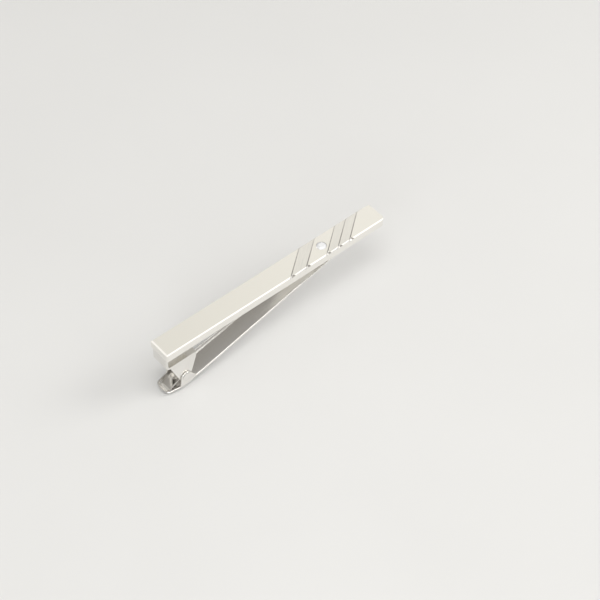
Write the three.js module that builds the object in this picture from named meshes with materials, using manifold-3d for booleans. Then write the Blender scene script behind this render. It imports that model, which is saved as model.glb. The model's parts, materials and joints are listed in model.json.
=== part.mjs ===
// Tie bar: an engraved front bar with a small crystal, and a sprung alligator jaw hinged behind it.
// Millimetres, +Z up. The origin is the centre of the bar's flat front face. +X runs along the bar from the
// hinge end to the free end, +Z points out of the face, and the tie is gripped between the bar and the jaw.
import * as THREE from 'three';
import { ConvexGeometry } from 'three/addons/geometries/ConvexGeometry.js';
import { mergeVertices } from 'three/addons/utils/BufferGeometryUtils.js';
import Module from 'manifold-3d';

const BAR_LENGTH = 57;
const BAR_WIDTH = 5.2;
const BAR_THICKNESS = 2;
const EDGE_CHAMFER = 0.22;
const END_BEVEL = 0.3;
const FREE_CORNER_RADIUS = 0.8;

const GROOVE_CENTRES = [6.4, 10.5, 16, 19, 22.1];
const GROOVE_ANGLE = THREE.MathUtils.degToRad(38);
const GROOVE_TILT = THREE.MathUtils.degToRad(0.7);
const GROOVE_DEPTH = 0.13;
const GROOVE_STEEP_SIDE = 0.05;
const GROOVE_SHALLOW_SIDE = 0.14;
const GROOVE_LENGTH = 14;
const EXIT_LENGTH = 1.4;
const EXIT_REACH = 0.65;
const EXIT_DROP = 0.32;

const STONE_X = 13.5;
const STONE_RADIUS = 1.05;
const STONE_TABLE_RADIUS = 0.6;
const STONE_CROWN_TOP = 0.22;
const STONE_GIRDLE_TOP = -0.1;
const STONE_GIRDLE_BOTTOM = -0.18;
const STONE_CULET = -1.08;
const STONE_CLEARANCE = 0.05;
const SEAT_LEDGE_Z = -0.42;
const SEAT_HOLE_RADIUS = 0.8;
const SEAT_HOLE_DEPTH = 1.3;
const STONE_SIDES = 16;

const PIVOT = new THREE.Vector2(-24, -10.2);
const PIN_RADIUS = 0.6;
const HOLE_RADIUS = 0.67;
const PIN_HEAD_RADIUS = 0.95;
const PIN_CROWN_SHARE = 0.75;
const PIN_HEAD_HEIGHT = 0.15;
const PIN_HEAD_GAP = 0.04;
const ROUND_SIDES = 32;

const BRACKET_WIDTH = 4.2;
const BRACKET_SHEET = 0.5;
const BRACKET_FOOT_END = -16;
const BRACKET_SHELF_END = -21;
const BRACKET_SHELF_Z = -5.3;
const BRACKET_TOP_BEND = 0.6;
const BRACKET_LOWER_BEND = 0.9;
const EAR_BEND = 0.7;
const EAR_RADIUS = 1.45;
const EAR_FRONT_ROOT = new THREE.Vector2(-27.4, -5.6);
const EAR_BACK_ROOT = new THREE.Vector2(-21.1, -6);

const JAW_LENGTH = 42.6;
const JAW_SHEET = 0.35;
const JAW_CLEARANCE = 0.05;
const JAW_CLOSED_ANGLE = THREE.MathUtils.degToRad(13.4);
const THUMB_BEND = THREE.MathUtils.degToRad(5.7);
const JAW_RIM_DROP = 1.9;
const JAW_WALL_AT_PIVOT = 1;
const JAW_WALL_AT_TIP = 0.75;
const JAW_TIP_WIDTH = 3.6;
const JAW_FULL_WIDTH_END = 6;
const JAW_TIP_RADIUS = 1.1;
const THUMB_LENGTH = 5.15;
const THUMB_WIDTH = 4.2;
const THUMB_CORNER_RADIUS = 1.15;
const THUMB_BOW = 0.15;
const LUG_RADIUS = 1.2;
const LUG_FOOT = 2.1;
const TOOTH_COUNT = 11;
const TOOTH_PITCH = 1;
const TOOTH_DEPTH = 0.3;

const WIRE_RADIUS = 0.2;
const COIL_RADIUS = 1;
const COIL_HALF_WIDTH = 1.12;
const COIL_WHOLE_TURNS = 4;
const UPPER_LEG_LENGTH = 4.85;
const LOWER_LEG_LENGTH = 3.95;
const UPPER_LEG_ANGLE = THREE.MathUtils.degToRad(30);
const LOWER_LEG_ANGLE = THREE.MathUtils.degToRad(-62.5);
const SPRING_STEPS = 90;
const WIRE_SIDES = 8;

const ARC_STEPS = 4;
const REACH = 40;
const WELD_DISTANCE = 1e-5;

const wasm = await Module();
wasm.setup();

const polished = new THREE.MeshStandardMaterial({ color: 0xe4dfd4, roughness: 0.12, metalness: 1 });
const plated = new THREE.MeshStandardMaterial({ color: 0xd8d5ce, roughness: 0.2, metalness: 1 });
const springSteel = new THREE.MeshStandardMaterial({ color: 0xa8a6a2, roughness: 0.3, metalness: 1 });
const crystal = new THREE.MeshStandardMaterial({ color: 0xf4f8ff, roughness: 0.02, metalness: 0 });

// A closed three.js geometry as a solid that can be joined and cut.
function solid(geometry) {
  const bare = geometry.clone();
  bare.deleteAttribute('normal');
  bare.deleteAttribute('uv');
  const merged = mergeVertices(bare, WELD_DISTANCE);
  const vertProperties = new Float32Array(merged.attributes.position.array);
  const triVerts = new Uint32Array(merged.index.array);
  return new wasm.Manifold(new wasm.Mesh({ numProp: 3, vertProperties, triVerts }));
}

function namedMesh(name, shape, material) {
  const cut = shape.getMesh();
  const geometry = new THREE.BufferGeometry();
  geometry.setAttribute('position', new THREE.BufferAttribute(cut.vertProperties, 3));
  geometry.setIndex(new THREE.BufferAttribute(cut.triVerts, 1));
  geometry.computeVertexNormals();
  const mesh = new THREE.Mesh(geometry, material);
  mesh.name = name;
  return mesh;
}

function extrusion(outline, depth) {
  return new THREE.ExtrudeGeometry(outline, { depth, bevelEnabled: false, curveSegments: ARC_STEPS });
}

// An outline drawn in X and Z, given a thickness from lowY to highY.
function acrossY(outline, lowY, highY) {
  const geometry = extrusion(outline, highY - lowY);
  geometry.rotateX(Math.PI / 2);
  geometry.translate(0, highY, 0);
  return solid(geometry);
}

// An outline drawn in X and Y, given a height from lowZ to highZ.
function alongZ(outline, lowZ, highZ) {
  const geometry = extrusion(outline, highZ - lowZ);
  geometry.translate(0, 0, lowZ);
  return solid(geometry);
}

// An outline drawn in Y and Z, given a length from lowX to highX.
function alongX(outline, lowX, highX) {
  const geometry = extrusion(outline, highX - lowX);
  const axes = new THREE.Matrix4().makeBasis(
    new THREE.Vector3(0, 1, 0),
    new THREE.Vector3(0, 0, 1),
    new THREE.Vector3(1, 0, 0),
  );
  geometry.applyMatrix4(axes);
  geometry.translate(lowX, 0, 0);
  return solid(geometry);
}

function polygon(points) {
  return new THREE.Shape(points.map(([a, b]) => new THREE.Vector2(a, b)));
}

function rod(radius, centre, halfLength) {
  const geometry = new THREE.CylinderGeometry(radius, radius, 2 * halfLength, ROUND_SIDES);
  geometry.translate(centre.x, 0, centre.y);
  return solid(geometry);
}

// The point where a line from a point outside a circle touches it, on the left or right as seen from there.
function tangentPoint(from, centre, radius, side) {
  const away = from.clone().sub(centre);
  const turn = side * Math.acos(radius / away.length());
  return away.setLength(radius).rotateAround(new THREE.Vector2(), turn).add(centre);
}

function barOutline() {
  const halfLength = BAR_LENGTH / 2;
  const halfWidth = BAR_WIDTH / 2;
  const cornerX = halfLength - FREE_CORNER_RADIUS;
  const cornerY = halfWidth - FREE_CORNER_RADIUS;
  const outline = new THREE.Shape();
  outline.moveTo(-halfLength, halfWidth);
  outline.lineTo(-halfLength, -halfWidth);
  outline.absarc(cornerX, -cornerY, FREE_CORNER_RADIUS, -Math.PI / 2, 0);
  outline.absarc(cornerX, cornerY, FREE_CORNER_RADIUS, 0, Math.PI / 2);
  return outline;
}

// A V cut with one steep and one shallow side, slanting over the bar and biting deeper at its -Y edge.
function grooveCutter(centreX) {
  const scale = (GROOVE_DEPTH + 1) / GROOVE_DEPTH;
  const section = polygon([
    [-GROOVE_STEEP_SIDE * scale, 1],
    [0, -GROOVE_DEPTH],
    [GROOVE_SHALLOW_SIDE * scale, 1],
  ]);
  const geometry = extrusion(section, GROOVE_LENGTH);
  geometry.rotateX(Math.PI / 2);
  geometry.translate(0, GROOVE_LENGTH / 2, 0);
  geometry.rotateX(GROOVE_TILT);
  geometry.rotateZ(GROOVE_ANGLE - Math.PI / 2);
  geometry.translate(centreX, 0, 0);
  return solid(geometry);
}

// Where a groove runs out at the -Y edge the tool drops: a small sloping facet on the groove's +X side.
function exitCutter(centreX) {
  const edgeY = -BAR_WIDTH / 2;
  const slant = 1 / Math.tan(GROOVE_ANGLE);
  const edgeX = centreX + edgeY * slant;
  const inner = new THREE.Vector2(edgeX + EXIT_REACH * slant, edgeY + EXIT_REACH);
  const outerY = edgeY - EXIT_REACH;
  const corners = [
    [inner.x, inner.y, 0],
    [edgeX - EXIT_REACH * slant, outerY, -2 * EXIT_DROP],
    [edgeX + 2 * EXIT_LENGTH - EXIT_REACH * slant, outerY, -2 * EXIT_DROP],
  ];
  const floor = corners.map(([x, y, z]) => new THREE.Vector3(x, y, z));
  const lid = floor.map((corner) => new THREE.Vector3(corner.x, corner.y, 1));
  return solid(new ConvexGeometry([...floor, ...lid]));
}

function stoneSeat() {
  const boreRadius = STONE_RADIUS + STONE_CLEARANCE;
  const bore = new THREE.CylinderGeometry(boreRadius, boreRadius, 1 - SEAT_LEDGE_Z, ROUND_SIDES);
  bore.rotateX(Math.PI / 2);
  bore.translate(STONE_X, 0, (1 + SEAT_LEDGE_Z) / 2);
  const hole = new THREE.CylinderGeometry(SEAT_HOLE_RADIUS, SEAT_HOLE_RADIUS, SEAT_HOLE_DEPTH, ROUND_SIDES);
  hole.rotateX(Math.PI / 2);
  hole.translate(STONE_X, 0, -SEAT_HOLE_DEPTH / 2);
  return solid(bore).add(solid(hole));
}

function makeFrontBar() {
  const halfWidth = BAR_WIDTH / 2;
  const halfLength = BAR_LENGTH / 2;
  const section = polygon([
    [-halfWidth, -BAR_THICKNESS],
    [halfWidth, -BAR_THICKNESS],
    [halfWidth, -EDGE_CHAMFER],
    [halfWidth - EDGE_CHAMFER, 0],
    [EDGE_CHAMFER - halfWidth, 0],
    [-halfWidth, -EDGE_CHAMFER],
  ]);
  const side = polygon([
    [-halfLength, -BAR_THICKNESS],
    [halfLength, -BAR_THICKNESS],
    [halfLength, 0],
    [END_BEVEL - halfLength, 0],
    [-halfLength, -END_BEVEL],
  ]);
  let bar = alongX(section, -halfLength, halfLength);
  bar = bar.intersect(acrossY(side, -halfWidth, halfWidth));
  bar = bar.intersect(alongZ(barOutline(), -BAR_THICKNESS, 0));
  for (const centreX of GROOVE_CENTRES) {
    bar = bar.subtract(grooveCutter(centreX)).subtract(exitCutter(centreX));
  }
  return bar.subtract(stoneSeat());
}

// The crystal's half section: culet, girdle, crown and flat table.
function makeStone() {
  const profile = [
    [0, STONE_CULET],
    [STONE_RADIUS, STONE_GIRDLE_BOTTOM],
    [STONE_RADIUS, STONE_GIRDLE_TOP],
    [STONE_TABLE_RADIUS, STONE_CROWN_TOP],
    [0, STONE_CROWN_TOP],
  ].map(([radius, height]) => new THREE.Vector2(radius, height));
  const geometry = new THREE.LatheGeometry(profile, STONE_SIDES);
  geometry.rotateX(Math.PI / 2);
  geometry.translate(STONE_X, 0, 0);
  return solid(geometry);
}

// Foot soldered along the bar's back, wall down the bar's end, and shelf under the throat, in X and Z.
function bracketFold() {
  const wallX = -BAR_LENGTH / 2;
  const top = -BAR_THICKNESS;
  const topX = wallX + BRACKET_TOP_BEND;
  const topZ = top - BRACKET_TOP_BEND;
  const lowX = wallX + BRACKET_LOWER_BEND;
  const lowZ = BRACKET_SHELF_Z + BRACKET_LOWER_BEND;
  const outline = new THREE.Shape();
  outline.moveTo(BRACKET_FOOT_END, top - BRACKET_SHEET);
  outline.lineTo(BRACKET_FOOT_END, top);
  outline.absarc(topX, topZ, BRACKET_TOP_BEND, Math.PI / 2, Math.PI);
  outline.absarc(lowX, lowZ, BRACKET_LOWER_BEND, Math.PI, 1.5 * Math.PI);
  outline.lineTo(BRACKET_SHELF_END, BRACKET_SHELF_Z);
  outline.lineTo(BRACKET_SHELF_END, BRACKET_SHELF_Z + BRACKET_SHEET);
  outline.absarc(lowX, lowZ, BRACKET_LOWER_BEND - BRACKET_SHEET, 1.5 * Math.PI, Math.PI, true);
  outline.absarc(topX, topZ, BRACKET_TOP_BEND - BRACKET_SHEET, Math.PI, Math.PI / 2, true);
  return outline;
}

// The shelf with both edges folded down, in Y and Z.
function earSection() {
  const outer = BRACKET_WIDTH / 2;
  const inner = outer - BRACKET_SHEET;
  const bendY = outer - EAR_BEND;
  const bendZ = BRACKET_SHELF_Z + BRACKET_SHEET - EAR_BEND;
  const low = PIVOT.y - 2 * EAR_RADIUS;
  const innerBend = EAR_BEND - BRACKET_SHEET;
  const outline = new THREE.Shape();
  outline.moveTo(-inner, low);
  outline.lineTo(-outer, low);
  outline.absarc(-bendY, bendZ, EAR_BEND, Math.PI, Math.PI / 2, true);
  outline.absarc(bendY, bendZ, EAR_BEND, Math.PI / 2, 0, true);
  outline.lineTo(outer, low);
  outline.lineTo(inner, low);
  outline.absarc(bendY, bendZ, innerBend, 0, Math.PI / 2);
  outline.absarc(-bendY, bendZ, innerBend, Math.PI / 2, Math.PI);
  return outline;
}

// One ear with the shelf's edge above it, in X and Z: it narrows to a round end about the pivot.
function earOutline() {
  const front = tangentPoint(EAR_FRONT_ROOT, PIVOT, EAR_RADIUS, 1);
  const back = tangentPoint(EAR_BACK_ROOT, PIVOT, EAR_RADIUS, -1);
  const frontAngle = front.clone().sub(PIVOT).angle();
  const backAngle = back.clone().sub(PIVOT).angle();
  const top = BRACKET_SHELF_Z + BRACKET_SHEET;
  const outline = new THREE.Shape();
  outline.moveTo(EAR_FRONT_ROOT.x, top);
  outline.lineTo(EAR_FRONT_ROOT.x, EAR_FRONT_ROOT.y);
  outline.absarc(PIVOT.x, PIVOT.y, EAR_RADIUS, frontAngle, backAngle + 2 * Math.PI);
  outline.lineTo(EAR_BACK_ROOT.x, EAR_BACK_ROOT.y);
  outline.lineTo(BRACKET_SHELF_END, BRACKET_SHELF_Z);
  outline.lineTo(BRACKET_SHELF_END, top);
  return outline;
}

function makeBracket() {
  const half = BRACKET_WIDTH / 2;
  const fold = acrossY(bracketFold(), -half, half);
  const ears = alongX(earSection(), EAR_FRONT_ROOT.x, BRACKET_SHELF_END);
  const shapedEars = ears.intersect(acrossY(earOutline(), -half, half));
  return fold.add(shapedEars).subtract(rod(HOLE_RADIUS, PIVOT, BRACKET_WIDTH));
}

function jawOuterHalfWidth() {
  return BRACKET_WIDTH / 2 + JAW_CLEARANCE + JAW_SHEET;
}

function makePin() {
  const shoulder = jawOuterHalfWidth() + PIN_HEAD_GAP;
  const dome = shoulder + PIN_HEAD_HEIGHT / 2;
  const end = shoulder + PIN_HEAD_HEIGHT;
  const profile = [
    [0, -end],
    [PIN_CROWN_SHARE * PIN_HEAD_RADIUS, -end],
    [PIN_HEAD_RADIUS, -dome],
    [PIN_HEAD_RADIUS, -shoulder],
    [PIN_RADIUS, -shoulder],
    [PIN_RADIUS, shoulder],
    [PIN_HEAD_RADIUS, shoulder],
    [PIN_HEAD_RADIUS, dome],
    [PIN_CROWN_SHARE * PIN_HEAD_RADIUS, end],
    [0, end],
  ].map(([radius, height]) => new THREE.Vector2(radius, height));
  const geometry = new THREE.LatheGeometry(profile, ROUND_SIDES);
  geometry.translate(PIVOT.x, 0, PIVOT.y);
  return solid(geometry);
}

// The wire's centre line: upper leg, coil about the pin, lower leg. Both legs leave the coil along its tangent.
class SpringPath extends THREE.Curve {
  constructor() {
    super();
    this.sweep = UPPER_LEG_ANGLE - LOWER_LEG_ANGLE + 2 * Math.PI * COIL_WHOLE_TURNS;
    this.coilLength = this.sweep * COIL_RADIUS;
    this.total = UPPER_LEG_LENGTH + this.coilLength + LOWER_LEG_LENGTH;
  }

  coilPoint(turned) {
    const angle = UPPER_LEG_ANGLE - turned;
    const y = COIL_HALF_WIDTH * (1 - (2 * turned) / this.sweep);
    const x = PIVOT.x + COIL_RADIUS * Math.cos(angle);
    const z = PIVOT.y + COIL_RADIUS * Math.sin(angle);
    return new THREE.Vector3(x, y, z);
  }

  legPoint(turned, distance) {
    const angle = UPPER_LEG_ANGLE - turned;
    const along = new THREE.Vector3(Math.sin(angle), 0, -Math.cos(angle));
    return this.coilPoint(turned).addScaledVector(along, distance);
  }

  getPoint(t) {
    const run = t * this.total;
    if (run < UPPER_LEG_LENGTH) {
      return this.legPoint(0, run - UPPER_LEG_LENGTH);
    }
    if (run < UPPER_LEG_LENGTH + this.coilLength) {
      return this.coilPoint((run - UPPER_LEG_LENGTH) / COIL_RADIUS);
    }
    return this.legPoint(this.sweep, run - UPPER_LEG_LENGTH - this.coilLength);
  }
}

function makeSpring() {
  const section = new THREE.Shape();
  section.absarc(0, 0, WIRE_RADIUS, 0, 2 * Math.PI);
  const settings = { steps: SPRING_STEPS, extrudePath: new SpringPath(), curveSegments: WIRE_SIDES / 2 };
  return solid(new THREE.ExtrudeGeometry(section, settings));
}

function jawRimHeight(u) {
  return u < 0 ? -JAW_RIM_DROP - u * Math.tan(THUMB_BEND) : -JAW_RIM_DROP;
}

function jawFloorHeight(u) {
  const slimming = Math.max(0, u / JAW_LENGTH) * (JAW_WALL_AT_PIVOT - JAW_WALL_AT_TIP);
  return jawRimHeight(u) - JAW_WALL_AT_PIVOT + slimming;
}

// The jaw's plan, in X and Y with the pivot at zero: round thumb end, full width at the pivot, narrow tip.
// inset moves the whole outline inwards.
function jawPlan(inset) {
  const thumbEnd = -THUMB_LENGTH + inset;
  const thumbHalf = THUMB_WIDTH / 2 - inset;
  const fullHalf = jawOuterHalfWidth() - inset;
  const tipHalf = JAW_TIP_WIDTH / 2 - inset;
  const tipEnd = JAW_LENGTH - inset;
  const corner = THUMB_CORNER_RADIUS - inset;
  const tipCorner = JAW_TIP_RADIUS - inset;
  const outline = new THREE.Shape();
  outline.moveTo(-LUG_FOOT, -fullHalf);
  outline.lineTo(JAW_FULL_WIDTH_END, -fullHalf);
  outline.absarc(tipEnd - tipCorner, -tipHalf + tipCorner, tipCorner, -Math.PI / 2, 0);
  outline.absarc(tipEnd - tipCorner, tipHalf - tipCorner, tipCorner, 0, Math.PI / 2);
  outline.lineTo(JAW_FULL_WIDTH_END, fullHalf);
  outline.lineTo(-LUG_FOOT, fullHalf);
  outline.absarc(thumbEnd + corner, thumbHalf - corner, corner, Math.PI / 2, Math.PI);
  outline.quadraticCurveTo(thumbEnd - 2 * THUMB_BOW, 0, thumbEnd, corner - thumbHalf);
  outline.absarc(thumbEnd + corner, corner - thumbHalf, corner, Math.PI, 1.5 * Math.PI);
  return outline;
}

// The jaw from the side, in X and Z with the pivot at zero: floor, toothed rim, pivot lug and thumb rim.
function jawSide() {
  const thumbEnd = -THUMB_LENGTH - THUMB_BOW;
  const lugFoot = new THREE.Vector2(LUG_FOOT, jawRimHeight(LUG_FOOT));
  const thumbFoot = new THREE.Vector2(-LUG_FOOT, jawRimHeight(-LUG_FOOT));
  const centre = new THREE.Vector2();
  const lugStart = tangentPoint(lugFoot, centre, LUG_RADIUS, 1).angle();
  const lugEnd = tangentPoint(thumbFoot, centre, LUG_RADIUS, -1).angle();
  const firstTooth = JAW_LENGTH - TOOTH_COUNT * TOOTH_PITCH;
  const outline = new THREE.Shape();
  outline.moveTo(thumbEnd, jawRimHeight(thumbEnd));
  outline.lineTo(thumbEnd, jawFloorHeight(thumbEnd));
  outline.lineTo(0, jawFloorHeight(0));
  outline.lineTo(JAW_LENGTH, jawFloorHeight(JAW_LENGTH));
  outline.lineTo(JAW_LENGTH, -JAW_RIM_DROP);
  for (let tooth = TOOTH_COUNT - 1; tooth >= 0; tooth -= 1) {
    const start = firstTooth + tooth * TOOTH_PITCH;
    outline.lineTo(start + TOOTH_PITCH / 2, -JAW_RIM_DROP - TOOTH_DEPTH);
    outline.lineTo(start, -JAW_RIM_DROP);
  }
  outline.lineTo(lugFoot.x, lugFoot.y);
  outline.absarc(0, 0, LUG_RADIUS, lugStart - 2 * Math.PI, lugEnd);
  outline.lineTo(thumbFoot.x, thumbFoot.y);
  return outline;
}

// What is hollowed out of the jaw, seen from the side: everything more than a sheet above its floor.
function jawHollowSide() {
  const thumbEnd = -THUMB_LENGTH;
  return polygon([
    [thumbEnd, REACH],
    [thumbEnd, jawFloorHeight(thumbEnd) + JAW_SHEET],
    [0, jawFloorHeight(0) + JAW_SHEET],
    [JAW_LENGTH, jawFloorHeight(JAW_LENGTH) + JAW_SHEET],
    [JAW_LENGTH, REACH],
  ]);
}

function makeJaw() {
  const half = jawOuterHalfWidth();
  const body = alongZ(jawPlan(0), -REACH, REACH).intersect(acrossY(jawSide(), -half, half));
  const hollow = alongZ(jawPlan(JAW_SHEET), -REACH, REACH).intersect(acrossY(jawHollowSide(), -half, half));
  const bored = body.subtract(hollow).subtract(rod(HOLE_RADIUS, new THREE.Vector2(), BRACKET_WIDTH));
  const closed = bored.rotate([0, -THREE.MathUtils.radToDeg(JAW_CLOSED_ANGLE), 0]);
  return closed.translate([PIVOT.x, 0, PIVOT.y]);
}

const tieBar = new THREE.Group();
tieBar.add(
  namedMesh('front_bar', makeFrontBar(), polished),
  namedMesh('crystal_stone', makeStone(), crystal),
  namedMesh('hinge_bracket', makeBracket(), plated),
  namedMesh('hinge_pin', makePin(), plated),
  namedMesh('torsion_spring', makeSpring(), springSteel),
  namedMesh('jaw_lever', makeJaw(), plated),
);

export default tieBar;
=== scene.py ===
"""The look of a polished tie bar with a sprung alligator jaw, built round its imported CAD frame."""
import json
import math

import bmesh
import bpy
from mathutils import Matrix, Vector


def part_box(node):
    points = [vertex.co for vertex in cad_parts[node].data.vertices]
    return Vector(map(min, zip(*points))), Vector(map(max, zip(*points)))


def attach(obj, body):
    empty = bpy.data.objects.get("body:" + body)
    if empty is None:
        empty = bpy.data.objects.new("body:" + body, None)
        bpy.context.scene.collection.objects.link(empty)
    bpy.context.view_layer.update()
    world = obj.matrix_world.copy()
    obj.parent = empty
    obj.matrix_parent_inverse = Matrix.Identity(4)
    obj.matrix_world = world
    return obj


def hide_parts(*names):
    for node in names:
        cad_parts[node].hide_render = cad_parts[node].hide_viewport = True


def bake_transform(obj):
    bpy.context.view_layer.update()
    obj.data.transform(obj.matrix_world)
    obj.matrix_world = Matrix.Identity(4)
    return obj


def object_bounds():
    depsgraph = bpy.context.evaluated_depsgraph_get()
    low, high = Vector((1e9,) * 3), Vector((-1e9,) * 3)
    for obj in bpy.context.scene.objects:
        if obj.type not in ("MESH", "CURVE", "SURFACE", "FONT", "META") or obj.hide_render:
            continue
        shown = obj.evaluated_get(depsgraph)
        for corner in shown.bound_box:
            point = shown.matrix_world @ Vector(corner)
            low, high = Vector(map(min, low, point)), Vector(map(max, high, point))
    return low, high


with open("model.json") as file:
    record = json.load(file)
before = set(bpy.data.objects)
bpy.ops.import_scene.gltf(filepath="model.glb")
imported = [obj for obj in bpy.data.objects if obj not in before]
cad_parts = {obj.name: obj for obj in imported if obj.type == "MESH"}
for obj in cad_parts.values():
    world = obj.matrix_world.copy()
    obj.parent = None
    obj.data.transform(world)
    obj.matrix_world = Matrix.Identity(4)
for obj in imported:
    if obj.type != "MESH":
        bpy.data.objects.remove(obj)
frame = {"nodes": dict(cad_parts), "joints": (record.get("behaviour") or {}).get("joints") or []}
cad_low, cad_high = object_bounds()

MM = 0.001

# Camera: it looks down on the bar from the front left, past the hinge end.
CAMERA_AZIMUTH = math.radians(-40.0)
CAMERA_ELEVATION = math.radians(50.07)
CAMERA_DISTANCE = 416.2 * MM
CAMERA_TARGET = Vector((0.8, -8.3, 0)) * MM
CAMERA_LENS = 124.5
CAMERA_SENSOR = 36

# Engraving on the front bar, in millimetres.
GROOVE_ANGLE = math.radians(38)
GROOVE_CENTRES = [6.4, 10.5, 16, 19, 22.1]
SATIN_BANDS = [(0, 1), (2, 3), (3, 4)]
GROOVE_MIDDLE = 0.11
GROOVE_HALF_WIDTH = 0.25
FACE_SKIN = 0.02
# The painted shade in the engraved cuts starts below FACE_SKIN and is darkest at the next depth.
FULL_CUT_SHADE_DEPTH = 0.1
SEAT_LEDGE_DEPTH = 0.4

# Polished edges, and how near two points are when they are one, in millimetres.
BAR_EDGE_ROUNDING = 0.045
BRACKET_EDGE_ROUNDING = 0.09
ROUNDING_SEGMENTS = 3
WELD_DISTANCE = 0.0005

# The crystal, in millimetres, with its facet angles in degrees. STAR_TABLE_SHARE is a share of the
# table's radius, and the other shares are of the stone's.
STONE_SIDES = 64
GIRDLE_TOP = -0.1
GIRDLE_BOTTOM = -0.18
CROWN_ANGLES = {"main": 33, "upper": 38, "star": 20}
PAVILION_ANGLES = {"main": 41, "lower": 42.5}
STONE_TABLE_SHARE = 0.57
HALF_FACET_SHARE = 0.995
STAR_TABLE_SHARE = 0.93
STAR_RISE_SHARE = 0.02

# The jaw lever, in millimetres, with the pivot at zero, u along the lever and w up.
JAW_LENGTH = 42.6
JAW_SHEET = 0.35
JAW_CLOSED_ANGLE = math.radians(13.4)
THUMB_BEND = math.radians(5.7)
JAW_RIM_DROP = 1.9
JAW_WALL_AT_PIVOT = 1.0
JAW_WALL_AT_TIP = 0.75
JAW_HALF_WIDTH = 2.5
JAW_TIP_HALF_WIDTH = 1.8
JAW_FULL_WIDTH_END = 6
JAW_TIP_RADIUS = 1.1
THUMB_LENGTH = 5.15
THUMB_HALF_WIDTH = 2.1
THUMB_CORNER_RADIUS = 1.15
THUMB_BOW = 0.15
LUG_RADIUS = 1.2
LUG_FOOT = 2.1
TOOTH_COUNT = 11
TOOTH_PITCH = 1
TOOTH_DEPTH = 0.3
HOLE_RADIUS = 0.67
BEND_AT_THUMB = 0.95
BEND_AT_TIP = 0.37
RIM_ROUNDING = 0.15
TOOTH_ROUNDING = 0.04
CORNER_STEPS = 10
BOW_STEPS = 5
BEND_STEPS = 5
EDGE_STEPS = 3
THUMB_SPACING = 0.4
LUG_SPACING = 0.1
WALL_SPACING = 0.8
CHANNEL_SPACING = 1.2
TIP_SPACING = 0.3

# The torsion spring, in millimetres.
WIRE_RADIUS = 0.2
COIL_RADIUS = 1
COIL_HALF_WIDTH = 1.12
COIL_WHOLE_TURNS = 4
UPPER_LEG_LENGTH = 4.85
LOWER_LEG_LENGTH = 3.95
UPPER_LEG_ANGLE = math.radians(30)
LOWER_LEG_ANGLE = math.radians(-62.5)
WIRE_SIDES = 20
STEPS_PER_TURN = 40
LEG_STEPS = 8

# The rivet, in millimetres.
PIN_RADIUS = 0.6
PIN_HEAD_RADIUS = 0.95
PIN_HEAD_HEIGHT = 0.15
PIN_HEAD_RIM = 0.04
PIN_HEAD_EDGE = 0.02
PIN_SIDES = 64
DOME_STEPS = 6

# The floor, in metres.
FLOOR_HALF_SIZE = 1.5

pivot = Vector(frame["joints"][0]["pos_m"])


# Meshes

def add_object(name, mesh):
    obj = bpy.data.objects.new(name, mesh)
    bpy.context.scene.collection.objects.link(obj)
    return obj


def object_from_bmesh(name, bm):
    bmesh.ops.recalc_face_normals(bm, faces=bm.faces)
    mesh = bpy.data.meshes.new(name)
    bm.to_mesh(mesh)
    bm.free()
    return add_object(name, mesh)


def copy_of_node(node, name):
    """A new piece with a CAD node's shape, its flat faces made whole again."""
    bm = bmesh.new()
    bm.from_mesh(frame["nodes"][node].data)
    bmesh.ops.remove_doubles(bm, verts=bm.verts, dist=WELD_DISTANCE * MM)
    bmesh.ops.dissolve_limit(
        bm, angle_limit=math.radians(0.5), verts=bm.verts, edges=bm.edges
    )
    return object_from_bmesh(name, bm)


def smooth_by_angle(obj, degrees):
    obj.data.shade_smooth()
    obj.data.set_sharp_from_angle(angle=math.radians(degrees))


def round_edges(obj, width, degrees):
    """Rounds every edge sharper than the angle, as polishing does."""
    bevel = obj.modifiers.new("rounded_edges", "BEVEL")
    bevel.width = width * MM
    bevel.segments = ROUNDING_SEGMENTS
    bevel.limit_method = "ANGLE"
    bevel.angle_limit = math.radians(degrees)
    bevel.miter_outer = "MITER_ARC"
    flats = obj.modifiers.new("flat_faces_stay_flat", "WEIGHTED_NORMAL")
    flats.mode = "FACE_AREA"
    flats.weight = 100
    flats.thresh = 0.001


def cut_away(obj, cutter):
    """Subtracts the cutter from the piece for good."""
    boolean = obj.modifiers.new("cut", "BOOLEAN")
    boolean.operation = "DIFFERENCE"
    boolean.solver = "MANIFOLD"
    boolean.object = cutter
    graph = bpy.context.evaluated_depsgraph_get()
    cut = bpy.data.meshes.new_from_object(obj.evaluated_get(graph))
    obj.modifiers.clear()
    obj.data = cut
    bpy.data.objects.remove(cutter)


def stand_for(obj, node, body):
    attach(obj, body)
    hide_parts(node)


# Pieces

def make_bar():
    obj = copy_of_node("front_bar", "polished_bar")
    obj.data.shade_smooth()
    round_edges(obj, BAR_EDGE_ROUNDING, 20)
    return obj


def make_bracket():
    obj = copy_of_node("hinge_bracket", "folded_bracket")
    obj.data.shade_smooth()
    round_edges(obj, BRACKET_EDGE_ROUNDING, 30)
    return obj


def slice_off(bm, point, normal):
    """Cuts everything beyond a plane off a convex solid and closes it with one facet."""
    geometry = bm.verts[:] + bm.edges[:] + bm.faces[:]
    cut = bmesh.ops.bisect_plane(
        bm, geom=geometry, dist=1e-9, plane_co=point, plane_no=normal, clear_outer=True
    )
    edges = [e for e in cut["geom_cut"] if isinstance(e, bmesh.types.BMEdge)]
    if len(edges) > 2:
        bmesh.ops.contextual_create(bm, geom=edges)


def facet_ring(bm, centre, radius, height, tilt, count, turn, up):
    """A ring of facets through a circle of this radius and height, leaning in by the tilt."""
    for index in range(count):
        angle = 2 * math.pi * (index + turn) / count
        outward = Vector((math.cos(angle), math.sin(angle), 0))
        normal = outward * math.sin(tilt) + Vector((0, 0, up * math.cos(tilt)))
        slice_off(bm, centre + outward * radius + Vector((0, 0, height)), normal)


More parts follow.
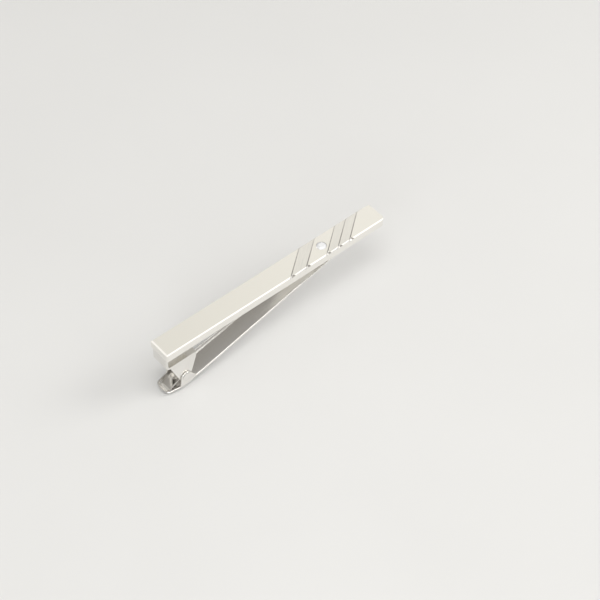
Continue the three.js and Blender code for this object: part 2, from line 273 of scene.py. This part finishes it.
def make_stone():
    """A round brilliant: table, stars, mains and upper facets over the girdle, and its pavilion below."""
    low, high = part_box("crystal_stone")
    centre = Vector(((low.x + high.x) / 2, (low.y + high.y) / 2, 0))
    radius = (high.x - low.x) / 2
    girdle_top = GIRDLE_TOP * MM
    girdle_bottom = GIRDLE_BOTTOM * MM
    main = math.radians(CROWN_ANGLES["main"])
    upper = math.radians(CROWN_ANGLES["upper"])
    star = math.radians(CROWN_ANGLES["star"])
    deep = math.radians(PAVILION_ANGLES["main"])
    lower = math.radians(PAVILION_ANGLES["lower"])
    table = STONE_TABLE_SHARE * radius
    table_top = min(high.z, girdle_top + (radius - table) * math.tan(main))
    star_height = table_top + STAR_RISE_SHARE * radius
    middle_height = (low.z + high.z) / 2
    bm = bmesh.new()
    bmesh.ops.create_cone(
        bm, cap_ends=True, segments=STONE_SIDES, radius1=radius, radius2=radius,
        depth=high.z - low.z, matrix=Matrix.Translation(centre + Vector((0, 0, middle_height))),
    )
    slice_off(bm, centre + Vector((0, 0, table_top)), Vector((0, 0, 1)))
    facet_ring(bm, centre, radius, girdle_top, main, 8, 0, 1)
    facet_ring(bm, centre, radius * HALF_FACET_SHARE, girdle_top, upper, 16, 0.5, 1)
    facet_ring(bm, centre, table * STAR_TABLE_SHARE, star_height, star, 8, 0.5, 1)
    facet_ring(bm, centre, radius, girdle_bottom, deep, 8, 0, -1)
    facet_ring(bm, centre, radius * HALF_FACET_SHARE, girdle_bottom, lower, 16, 0.5, -1)
    return object_from_bmesh("brilliant_stone", bm), girdle_bottom


def make_pin():
    """A rivet with low domed heads, turned about the hinge axis."""
    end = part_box("hinge_pin")[1].y
    shoulder = end - PIN_HEAD_HEIGHT * MM
    rim = shoulder + PIN_HEAD_RIM * MM
    head = PIN_HEAD_RADIUS * MM
    shank = PIN_RADIUS * MM
    angles = [math.pi / 2 * step / DOME_STEPS for step in range(DOME_STEPS + 1)]
    dome = [(head * math.cos(angle), rim + (end - rim) * math.sin(angle)) for angle in angles]
    half = [(shank, 0), (shank, shoulder), (head - PIN_HEAD_EDGE * MM, shoulder)] + dome
    profile = [(r, -y) for r, y in reversed(half[1:])] + half
    bm = bmesh.new()
    verts = [bm.verts.new((max(r, 0), y, 0)) for r, y in profile]
    edges = [bm.edges.new(pair) for pair in zip(verts, verts[1:])]
    bmesh.ops.spin(
        bm, geom=verts + edges, cent=(0, 0, 0), axis=(0, 1, 0), angle=2 * math.pi,
        steps=PIN_SIDES, use_duplicate=False,
    )
    bmesh.ops.remove_doubles(bm, verts=bm.verts, dist=2 * WELD_DISTANCE * MM)
    bmesh.ops.translate(bm, verts=bm.verts, vec=pivot)
    obj = object_from_bmesh("rivet", bm)
    smooth_by_angle(obj, 40)
    return obj


def blend_values(start, end, share):
    return start + (end - start) * min(1, max(0, share))


def jaw_rim(u):
    """Height of the side walls' upper edge: thumb rim, pivot lug, long edge and teeth."""
    plain = -JAW_RIM_DROP - min(u, 0) * math.tan(THUMB_BEND)
    foot = math.copysign(LUG_FOOT, u)
    foot_height = -JAW_RIM_DROP - min(foot, 0) * math.tan(THUMB_BEND)
    reach = math.hypot(foot, foot_height)
    tangent = math.atan2(foot_height, abs(foot)) + math.acos(LUG_RADIUS / reach)
    touch_u = LUG_RADIUS * math.cos(tangent)
    if abs(u) <= touch_u:
        return math.sqrt(LUG_RADIUS ** 2 - u ** 2)
    if abs(u) < LUG_FOOT:
        touch_height = LUG_RADIUS * math.sin(tangent)
        return blend_values(touch_height, foot_height, (abs(u) - touch_u) / (LUG_FOOT - touch_u))
    into_teeth = u - (JAW_LENGTH - TOOTH_COUNT * TOOTH_PITCH)
    if into_teeth > 0:
        phase = (into_teeth / TOOTH_PITCH) % 1
        return plain - TOOTH_DEPTH * (1 - abs(2 * phase - 1))
    return plain


def jaw_floor(u):
    """Height of the channel's underside."""
    wall = blend_values(JAW_WALL_AT_PIVOT, JAW_WALL_AT_TIP, u / JAW_LENGTH)
    return -JAW_RIM_DROP - min(u, 0) * math.tan(THUMB_BEND) - wall


def arc_points(centre_u, centre_y, radius, start, end, steps):
    angles = [start + (end - start) * step / steps for step in range(steps + 1)]
    return [(centre_u + radius * math.cos(a), centre_y + radius * math.sin(a)) for a in angles]


def line_points(start, end, spacing):
    steps = max(1, math.ceil(math.dist(start, end) / spacing))
    return [
        (start[0] + (end[0] - start[0]) * step / steps, start[1] + (end[1] - start[1]) * step / steps)
        for step in range(1, steps)
    ]


def jaw_half_plan():
    """One side of the lever's plan, from the middle of the thumb end to the middle of the tip."""
    corner = THUMB_CORNER_RADIUS
    corner_u = corner - THUMB_LENGTH
    corner_y = THUMB_HALF_WIDTH - corner
    thumb_corner = arc_points(corner_u, corner_y, corner, math.pi, math.pi / 2, CORNER_STEPS)
    end_start = thumb_corner[0]
    bowed = [
        (end_start[0] - THUMB_BOW * (1 - (y / end_start[1]) ** 2), y)
        for y in [end_start[1] * step / BOW_STEPS for step in range(BOW_STEPS)]
    ]
    tip = JAW_TIP_RADIUS
    tip_y = JAW_TIP_HALF_WIDTH - tip
    tip_corner = arc_points(JAW_LENGTH - tip, tip_y, tip, math.pi / 2, 0, CORNER_STEPS)
    lug_start = (-LUG_FOOT, JAW_HALF_WIDTH)
    lug_end = (LUG_FOOT, JAW_HALF_WIDTH)
    full_end = (JAW_FULL_WIDTH_END, JAW_HALF_WIDTH)
    points = bowed + thumb_corner
    points += line_points(thumb_corner[-1], lug_start, THUMB_SPACING) + [lug_start]
    points += line_points(lug_start, lug_end, LUG_SPACING) + [lug_end]
    points += line_points(lug_end, full_end, WALL_SPACING) + [full_end]
    first_tooth = JAW_LENGTH - TOOTH_COUNT * TOOTH_PITCH
    share = (first_tooth - full_end[0]) / (tip_corner[0][0] - full_end[0])
    teeth_start = (first_tooth, blend_values(full_end[1], tip_corner[0][1], share))
    points += line_points(full_end, teeth_start, CHANNEL_SPACING) + [teeth_start]
    points += line_points(teeth_start, tip_corner[0], TOOTH_PITCH / 8) + tip_corner
    points += line_points(tip_corner[-1], (JAW_LENGTH, 0), TIP_SPACING) + [(JAW_LENGTH, 0)]
    return points


def inset_loop(points, distances):
    """A closed outline moved inwards, point by point."""
    moved = []
    count = len(points)
    for index, (u, y) in enumerate(points):
        before = points[index - 1]
        after = points[(index + 1) % count]
        along = Vector((after[0] - before[0], after[1] - before[1])).normalized()
        moved.append((u + along.y * distances[index], y - along.x * distances[index]))
    return moved


def jaw_profile(u):
    """Inset and height pairs round the sheet: underside, outer wall, rim, inner wall and floor."""
    bend = blend_values(BEND_AT_THUMB, BEND_AT_TIP, (u + THUMB_LENGTH) / JAW_LENGTH)
    inner_bend = bend - JAW_SHEET
    floor = jaw_floor(u)
    rim = jaw_rim(u)
    in_teeth = u > JAW_LENGTH - TOOTH_COUNT * TOOTH_PITCH
    edge = TOOTH_ROUNDING if in_teeth else RIM_ROUNDING
    bend_angles = [math.pi / 2 * step / BEND_STEPS for step in range(BEND_STEPS + 1)]
    edge_angles = [math.pi / 2 * step / EDGE_STEPS for step in range(EDGE_STEPS + 1)]
    outer = [(bend * (1 - math.sin(a)), floor + bend * (1 - math.cos(a))) for a in bend_angles]
    over = [(edge * (1 - math.cos(a)), rim - edge * (1 - math.sin(a))) for a in edge_angles]
    back = [(JAW_SHEET - inset, height) for inset, height in reversed(over)]
    inner = [
        (bend - inner_bend * math.sin(a), floor + bend - inner_bend * math.cos(a))
        for a in reversed(bend_angles)
    ]
    return outer + over + back + inner


def to_frame(u, y, w):
    """From the lever's own directions to the shared frame, with the jaw closed."""
    along = u * math.cos(JAW_CLOSED_ANGLE) - w * math.sin(JAW_CLOSED_ANGLE)
    up = u * math.sin(JAW_CLOSED_ANGLE) + w * math.cos(JAW_CLOSED_ANGLE)
    return pivot + Vector((along, y, up)) * MM


def make_jaw():
    """The pressed channel as one shell: the sheet's section carried round the lever's outline."""
    half = jaw_half_plan()
    loop = half + [(u, -y) for u, y in reversed(half[1:-1])]
    profiles = [jaw_profile(u) for u, y in loop]
    bm = bmesh.new()
    rings = []
    for step in range(len(profiles[0])):
        moved = inset_loop(loop, [profile[step][0] for profile in profiles])
        rings.append([
            bm.verts.new(to_frame(u, y, profile[step][1])) for (u, y), profile in zip(moved, profiles)
        ])
    count = len(loop)
    for ring, following in zip(rings, rings[1:]):
        for index in range(count):
            after = (index + 1) % count
            bm.faces.new((ring[index], ring[after], following[after], following[index]))
    for ring in (rings[0], rings[-1]):
        for index in range(len(half) - 1):
            corners = [ring[index], ring[index + 1], ring[-index - 1], ring[-index]]
            bm.faces.new(list(dict.fromkeys(corners)))
    obj = object_from_bmesh("pressed_jaw", bm)
    cut_away(obj, hinge_hole_cutter())
    smooth_by_angle(obj, 32)
    return obj


def hinge_hole_cutter():
    bm = bmesh.new()
    turn = Matrix.Rotation(math.pi / 2, 4, "X")
    bmesh.ops.create_cone(
        bm, cap_ends=True, segments=48, radius1=HOLE_RADIUS * MM, radius2=HOLE_RADIUS * MM,
        depth=4 * JAW_HALF_WIDTH * MM, matrix=Matrix.Translation(pivot) @ turn,
    )
    return object_from_bmesh("hole_cutter", bm)


def spring_points():
    """The wire's centre line: upper leg, coil about the pin, lower leg."""
    sweep = UPPER_LEG_ANGLE - LOWER_LEG_ANGLE + 2 * math.pi * COIL_WHOLE_TURNS

    def on_coil(turned):
        angle = UPPER_LEG_ANGLE - turned
        y = COIL_HALF_WIDTH * (1 - 2 * turned / sweep)
        return Vector((COIL_RADIUS * math.cos(angle), y, COIL_RADIUS * math.sin(angle)))

    def on_leg(turned, distance):
        angle = UPPER_LEG_ANGLE - turned
        return on_coil(turned) + Vector((math.sin(angle), 0, -math.cos(angle))) * distance

    upper = [on_leg(0, -UPPER_LEG_LENGTH * (1 - step / LEG_STEPS)) for step in range(LEG_STEPS)]
    coil_steps = STEPS_PER_TURN * COIL_WHOLE_TURNS
    coil = [on_coil(sweep * step / coil_steps) for step in range(coil_steps + 1)]
    lower = [on_leg(sweep, LOWER_LEG_LENGTH * (step + 1) / LEG_STEPS) for step in range(LEG_STEPS)]
    return [pivot + point * MM for point in upper + coil + lower]


def ring_places(index, last):
    """How far along the wire each ring at this point lies and how wide it is, in wire radii."""
    rounded_end = [(0.0, 0.75), (0.08, 0.94), (0.25, 1.0)]
    if index == 0:
        return rounded_end
    if index == last:
        return [(-distance, share) for distance, share in reversed(rounded_end)]
    return [(0.0, 1.0)]


def make_spring():
    """Round wire carried along its centre line, with rounded cut ends."""
    points = spring_points()
    bm = bmesh.new()
    side = Vector((0, 1, 0))
    rings = []
    last = len(points) - 1
    for index, point in enumerate(points):
        along = (points[min(index + 1, last)] - points[max(index - 1, 0)]).normalized()
        side = (side - along * side.dot(along)).normalized()
        across = along.cross(side)
        for distance, share in ring_places(index, last):
            centre = point + along * distance * WIRE_RADIUS * MM
            radius = WIRE_RADIUS * share * MM
            angles = [2 * math.pi * step / WIRE_SIDES for step in range(WIRE_SIDES)]
            rings.append([
                bm.verts.new(centre + (side * math.cos(a) + across * math.sin(a)) * radius)
                for a in angles
            ])
    for ring, following in zip(rings, rings[1:]):
        for index in range(WIRE_SIDES):
            after = (index + 1) % WIRE_SIDES
            bm.faces.new((ring[index], ring[after], following[after], following[index]))
    bm.faces.new(rings[0])
    bm.faces.new(rings[-1])
    obj = object_from_bmesh("coil_spring", bm)
    smooth_by_angle(obj, 50)
    return obj


# Materials

class Nodes:
    """A material's node tree, with short calls for the nodes used here."""

    def __init__(self, name):
        self.material = bpy.data.materials.new(name)
        self.material.use_nodes = True
        self.tree = self.material.node_tree
        self.shader = self.tree.nodes["Principled BSDF"]
        self.place = self.tree.nodes.new("ShaderNodeTexCoord").outputs["Object"]

    def link(self, source, target):
        self.tree.links.new(source, target)

    def mapped(self, scale, angle=0.0):
        mapping = self.tree.nodes.new("ShaderNodeMapping")
        mapping.vector_type = "TEXTURE"
        mapping.inputs["Rotation"].default_value = (0, 0, angle)
        mapping.inputs["Scale"].default_value = [MM * s for s in scale]
        self.link(self.place, mapping.inputs["Vector"])
        return mapping.outputs["Vector"]

    def noise(self, scale, angle=0.0, detail=2.0, roughness=0.5):
        """Noise whose grain measures scale millimetres along each axis."""
        noise = self.tree.nodes.new("ShaderNodeTexNoise")
        noise.inputs["Scale"].default_value = 1
        noise.inputs["Detail"].default_value = detail
        noise.inputs["Roughness"].default_value = roughness
        self.link(self.mapped(scale, angle), noise.inputs["Vector"])
        return noise.outputs["Fac"]

    def math(self, operation, first, second=None, third=None):
        node = self.tree.nodes.new("ShaderNodeMath")
        node.operation = operation
        for socket, value in zip(node.inputs, (first, second, third)):
            if value is None:
                continue
            if isinstance(value, (int, float)):
                socket.default_value = value
            else:
                self.link(value, socket)
        return node.outputs["Value"]

    def spread(self, value, from_low, from_high, to_low, to_high):
        """The value carried from one range to another and kept inside it."""
        node = self.tree.nodes.new("ShaderNodeMapRange")
        limits = (from_low, from_high, to_low, to_high)
        for name, limit in zip(("From Min", "From Max", "To Min", "To Max"), limits):
            node.inputs[name].default_value = limit
        self.link(value, node.inputs["Value"])
        return node.outputs["Result"]

    def tint(self, share, first, second):
        """A colour between the first and the second."""
        node = self.tree.nodes.new("ShaderNodeMix")
        node.data_type = "RGBA"
        self.link(share, node.inputs["Factor"])
        for name, colour in (("A", first), ("B", second)):
            if isinstance(colour, bpy.types.NodeSocket):
                self.link(colour, node.inputs[name])
            else:
                node.inputs[name].default_value = (*colour, 1)
        return node.outputs["Result"]

    def bump(self, height, depth):
        """Relief of the given depth in millimetres."""
        node = self.tree.nodes.new("ShaderNodeBump")
        node.inputs["Distance"].default_value = depth * MM
        node.inputs["Strength"].default_value = 1
        self.link(height, node.inputs["Height"])
        return node.outputs["Normal"]

    def set(self, name, value):
        socket = self.shader.inputs[name]
        if isinstance(value, bpy.types.NodeSocket):
            self.link(value, socket)
        else:
            socket.default_value = value


def engraving_masks(nodes):
    """Two masks for the face: one inside its satin bands, and one deep in its engraved cuts, where shade
    is painted.
    """
    split = nodes.tree.nodes.new("ShaderNodeSeparateXYZ")
    nodes.link(nodes.place, split.inputs["Vector"])
    shear = nodes.math("MULTIPLY", split.outputs["Y"], 1 / math.tan(GROOVE_ANGLE))
    along = nodes.math("MULTIPLY", nodes.math("SUBTRACT", split.outputs["X"], shear), 1 / MM)

    def inside(strips):
        mask = 0.0
        for middle, half in strips:
            away = nodes.math("ABSOLUTE", nodes.math("SUBTRACT", along, middle))
            mask = nodes.math("ADD", mask, nodes.math("LESS_THAN", away, half))
        return mask

    bands = [(GROOVE_CENTRES[first], GROOVE_CENTRES[last]) for first, last in SATIN_BANDS]
    satin = inside([((low + high) / 2, (high - low) / 2) for low, high in bands])
    height = split.outputs["Z"]
    on_face = nodes.math("GREATER_THAN", height, -FACE_SKIN * MM)
    cuts = inside([(centre + GROOVE_MIDDLE, GROOVE_HALF_WIDTH) for centre in GROOVE_CENTRES])
    depth = nodes.spread(height, -FACE_SKIN * MM, -FULL_CUT_SHADE_DEPTH * MM, 0, 1)
    above_seat = nodes.math("GREATER_THAN", height, -SEAT_LEDGE_DEPTH * MM)
    deep = nodes.math("MULTIPLY", nodes.math("MULTIPLY", cuts, depth), above_seat)
    return nodes.math("MULTIPLY", satin, on_face), deep


def polished_plate():
    """Bright plating: wipe marks, satin hairlines between the engraved cuts, and painted shade deep in
    them.
    """
    nodes = Nodes("polished_plate")
    clouds = nodes.noise((9, 9, 9), detail=3)
    wipes = nodes.noise((6, 0.05, 0.05), angle=0.12, detail=1)
    cross_wipes = nodes.noise((4, 0.04, 0.04), angle=-0.7, detail=1)
    hairlines = nodes.noise((8, 0.045, 0.045), angle=GROOVE_ANGLE, detail=2, roughness=0.7)
    satin, deep = engraving_masks(nodes)
    scratches = nodes.math("MULTIPLY", nodes.spread(hairlines, 0.35, 0.7, 0, 1), satin)
    polish = nodes.spread(clouds, 0.3, 0.75, 0.055, 0.1)
    marks = nodes.math("MULTIPLY", nodes.spread(wipes, 0.62, 0.8, 0, 1), 0.05)
    matt = nodes.math("ADD", nodes.math("MULTIPLY", satin, 0.06), nodes.math("MULTIPLY", deep, 0.4))
    matt = nodes.math("ADD", matt, nodes.math("MULTIPLY", scratches, 0.1))
    nodes.set("Roughness", nodes.math("ADD", nodes.math("ADD", polish, marks), matt))
    tone = nodes.tint(scratches, (0.92, 0.9, 0.86), (0.87, 0.855, 0.83))
    # Painted shade: the base colour turns dark grey deep in the engraved cuts.
    nodes.set("Base Color", nodes.tint(deep, tone, (0.54, 0.53, 0.51)))
    nodes.set("Metallic", 1.0)
    nodes.set("Normal", nodes.bump(nodes.math("MULTIPLY_ADD", cross_wipes, 0.3, scratches), 0.0012))
    return nodes.material


def plated_sheet():
    """Plated pressed sheet: rolled grain under the plating, tumbled finish, a few rubbed spots."""
    nodes = Nodes("plated_sheet")
    clouds = nodes.noise((3, 3, 3), detail=3)
    grain = nodes.noise((5, 0.08, 0.08), angle=0.05, detail=2, roughness=0.6)
    rubs = nodes.noise((0.5, 0.5, 0.5), detail=4, roughness=0.6)
    polish = nodes.spread(clouds, 0.3, 0.7, 0.08, 0.16)
    nodes.set("Roughness", nodes.math("MULTIPLY_ADD", rubs, 0.1, polish))
    nodes.set("Base Color", nodes.tint(clouds, (0.88, 0.87, 0.85), (0.8, 0.78, 0.74)))
    nodes.set("Metallic", 1.0)
    nodes.set("Normal", nodes.bump(nodes.math("MULTIPLY_ADD", rubs, 0.6, grain), 0.003))
    return nodes.material


def spring_wire():
    """Drawn steel wire with a slight brown-grey temper."""
    nodes = Nodes("spring_wire")
    clouds = nodes.noise((0.8, 0.8, 0.8), detail=3)
    lines = nodes.noise((0.03, 0.6, 0.03), detail=2)
    nodes.set("Roughness", nodes.spread(clouds, 0.3, 0.7, 0.22, 0.36))
    nodes.set("Base Color", nodes.tint(clouds, (0.62, 0.6, 0.57), (0.48, 0.45, 0.42)))
    nodes.set("Metallic", 1.0)
    nodes.set("Normal", nodes.bump(lines, 0.003))
    return nodes.material


def clear_crystal():
    """A bright stone: mostly an even milky white, only a quarter of it clear; the milky white is a painted
    highlight, standing in for a cut stone's glints.
    """
    nodes = Nodes("clear_crystal")
    haze = nodes.noise((0.4, 0.4, 0.4), detail=2)
    nodes.set("Roughness", nodes.spread(haze, 0.4, 0.7, 0.0, 0.02))
    # Painted highlight: a near-white base colour with little transmission makes the whole stone look like
    # one bright glint.
    nodes.set("Base Color", (0.98, 0.99, 1.0, 1))
    nodes.set("Transmission Weight", 0.25)
    nodes.set("IOR", 1.62)
    return nodes.material


def silver_foil():
    """The bright backing on the stone's lower facets."""
    nodes = Nodes("silver_foil")
    ripples = nodes.noise((0.15, 0.15, 0.15), detail=2)
    nodes.set("Roughness", nodes.spread(ripples, 0.3, 0.7, 0.25, 0.4))
    nodes.set("Base Color", (0.98, 0.985, 0.99, 1))
    nodes.set("Metallic", 0.25)
    return nodes.material


def pale_floor():
    """Matt pale board with faint clouds."""
    nodes = Nodes("pale_floor")
    clouds = nodes.noise((60, 60, 60), detail=4)
    nodes.set("Base Color", nodes.tint(clouds, (0.7, 0.7, 0.69), (0.75, 0.75, 0.74)))
    nodes.set("Roughness", 0.6)
    return nodes.material


def paint(obj, *materials):
    """Gives the piece these materials in this order."""
    obj.data.materials.clear()
    for material in materials:
        obj.data.materials.append(material)


# Stage, light and camera

def make_floor(height):
    bm = bmesh.new()
    bmesh.ops.create_grid(bm, x_segments=8, y_segments=8, size=FLOOR_HALF_SIZE)
    bmesh.ops.translate(bm, verts=bm.verts, vec=(0, 0, height))
    floor = object_from_bmesh("floor", bm)
    paint(floor, pale_floor())


def softbox(name, direction, distance, width, height, radiance, colour):
    """A soft panel that faces the bar. Radiance is how bright the panel itself looks."""
    data = bpy.data.lights.new(name, "AREA")
    data.shape = "RECTANGLE"
    data.size = width
    data.size_y = height
    data.energy = radiance * math.pi * width * height
    data.color = colour
    light = bpy.data.objects.new(name, data)
    bpy.context.scene.collection.objects.link(light)
    away = Vector(direction).normalized()
    light.location = away * distance
    light.rotation_mode = "QUATERNION"
    light.rotation_quaternion = away.to_track_quat("Z", "Y")


def make_lights():
    """Soft panels round the bar: direction, distance, width, height, radiance and colour of each."""
    softbox("face_panel", (0.43, 0.49, 0.76), 0.7, 0.25, 0.2, 0.43, (0.98, 0.98, 0.9))
    softbox("front_strip", (0.41, -0.77, 0.49), 0.6, 0.4, 0.2, 0.75, (1.0, 0.99, 0.98))
    softbox("left_panel", (-0.77, 0.49, 0.41), 0.7, 0.3, 0.3, 0.52, (1.0, 0.99, 0.93))
    softbox("fill_panel", (-0.75, -0.5, 0.43), 0.7, 0.4, 0.4, 2.2, (0.97, 0.985, 1.0))
    softbox("key_light", (0.7, -0.42, 0.55), 0.7, 0.3, 0.3, 5.5, (1.0, 0.985, 0.96))
    softbox("top_panel", (-0.14, -0.2, 0.97), 0.7, 0.5, 0.5, 3.0, (1.0, 0.995, 0.985))
    make_studio()


def make_studio():
    """Walls that brighten from the zenith down to the horizon, and a little towards +X."""
    world = bpy.data.worlds.new("studio")
    bpy.context.scene.world = world
    world.use_nodes = True
    tree = world.node_tree
    background = tree.nodes["Background"]
    place = tree.nodes.new("ShaderNodeTexCoord")
    split = tree.nodes.new("ShaderNodeSeparateXYZ")
    ramp = tree.nodes.new("ShaderNodeValToRGB")
    side = tree.nodes.new("ShaderNodeMapRange")
    tree.links.new(place.outputs["Generated"], split.inputs["Vector"])
    tree.links.new(split.outputs["Z"], ramp.inputs["Fac"])
    tree.links.new(ramp.outputs["Color"], background.inputs["Color"])
    ramp.color_ramp.elements[0].color = (0.66, 0.66, 0.67, 1)
    ramp.color_ramp.elements[1].color = (0.29, 0.275, 0.25, 1)
    tree.links.new(split.outputs["X"], side.inputs["Value"])
    side.inputs["From Min"].default_value = 0.32
    side.inputs["From Max"].default_value = 0.44
    side.inputs["To Min"].default_value = 1
    side.inputs["To Max"].default_value = 1.3
    tree.links.new(side.outputs["Result"], background.inputs["Strength"])


def make_camera():
    data = bpy.data.cameras.new("camera")
    data.lens = CAMERA_LENS
    data.sensor_width = CAMERA_SENSOR
    data.clip_start = 0.01
    data.clip_end = 10
    camera = bpy.data.objects.new("camera", data)
    bpy.context.scene.collection.objects.link(camera)
    level = math.cos(CAMERA_ELEVATION)
    back = Vector((
        math.sin(CAMERA_AZIMUTH) * level,
        -math.cos(CAMERA_AZIMUTH) * level,
        math.sin(CAMERA_ELEVATION),
    ))
    camera.location = CAMERA_TARGET + back * CAMERA_DISTANCE
    camera.rotation_mode = "QUATERNION"
    camera.rotation_quaternion = (-back).to_track_quat("-Z", "Y")
    bpy.context.scene.camera = camera


def build():
    make_camera()
    bpy.context.scene.view_settings.view_transform = "Standard"
    polish = polished_plate()
    sheet = plated_sheet()

    bar = make_bar()
    paint(bar, polish)
    stand_for(bar, "front_bar", "bar")

    stone, girdle = make_stone()
    paint(stone, clear_crystal(), silver_foil())
    for face in stone.data.polygons:
        face.material_index = 1 if face.center.z < girdle and face.normal.z < -0.1 else 0
    stand_for(stone, "crystal_stone", "bar")

    bracket = make_bracket()
    paint(bracket, sheet)
    stand_for(bracket, "hinge_bracket", "bar")

    pin = make_pin()
    paint(pin, sheet)
    stand_for(pin, "hinge_pin", "bar")

    jaw = make_jaw()
    paint(jaw, sheet)
    stand_for(jaw, "jaw_lever", "jaw")

    spring = make_spring()
    paint(spring, spring_wire())
    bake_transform(spring)
    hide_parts("torsion_spring")

    make_floor(cad_low.z)
    make_lights()


build()
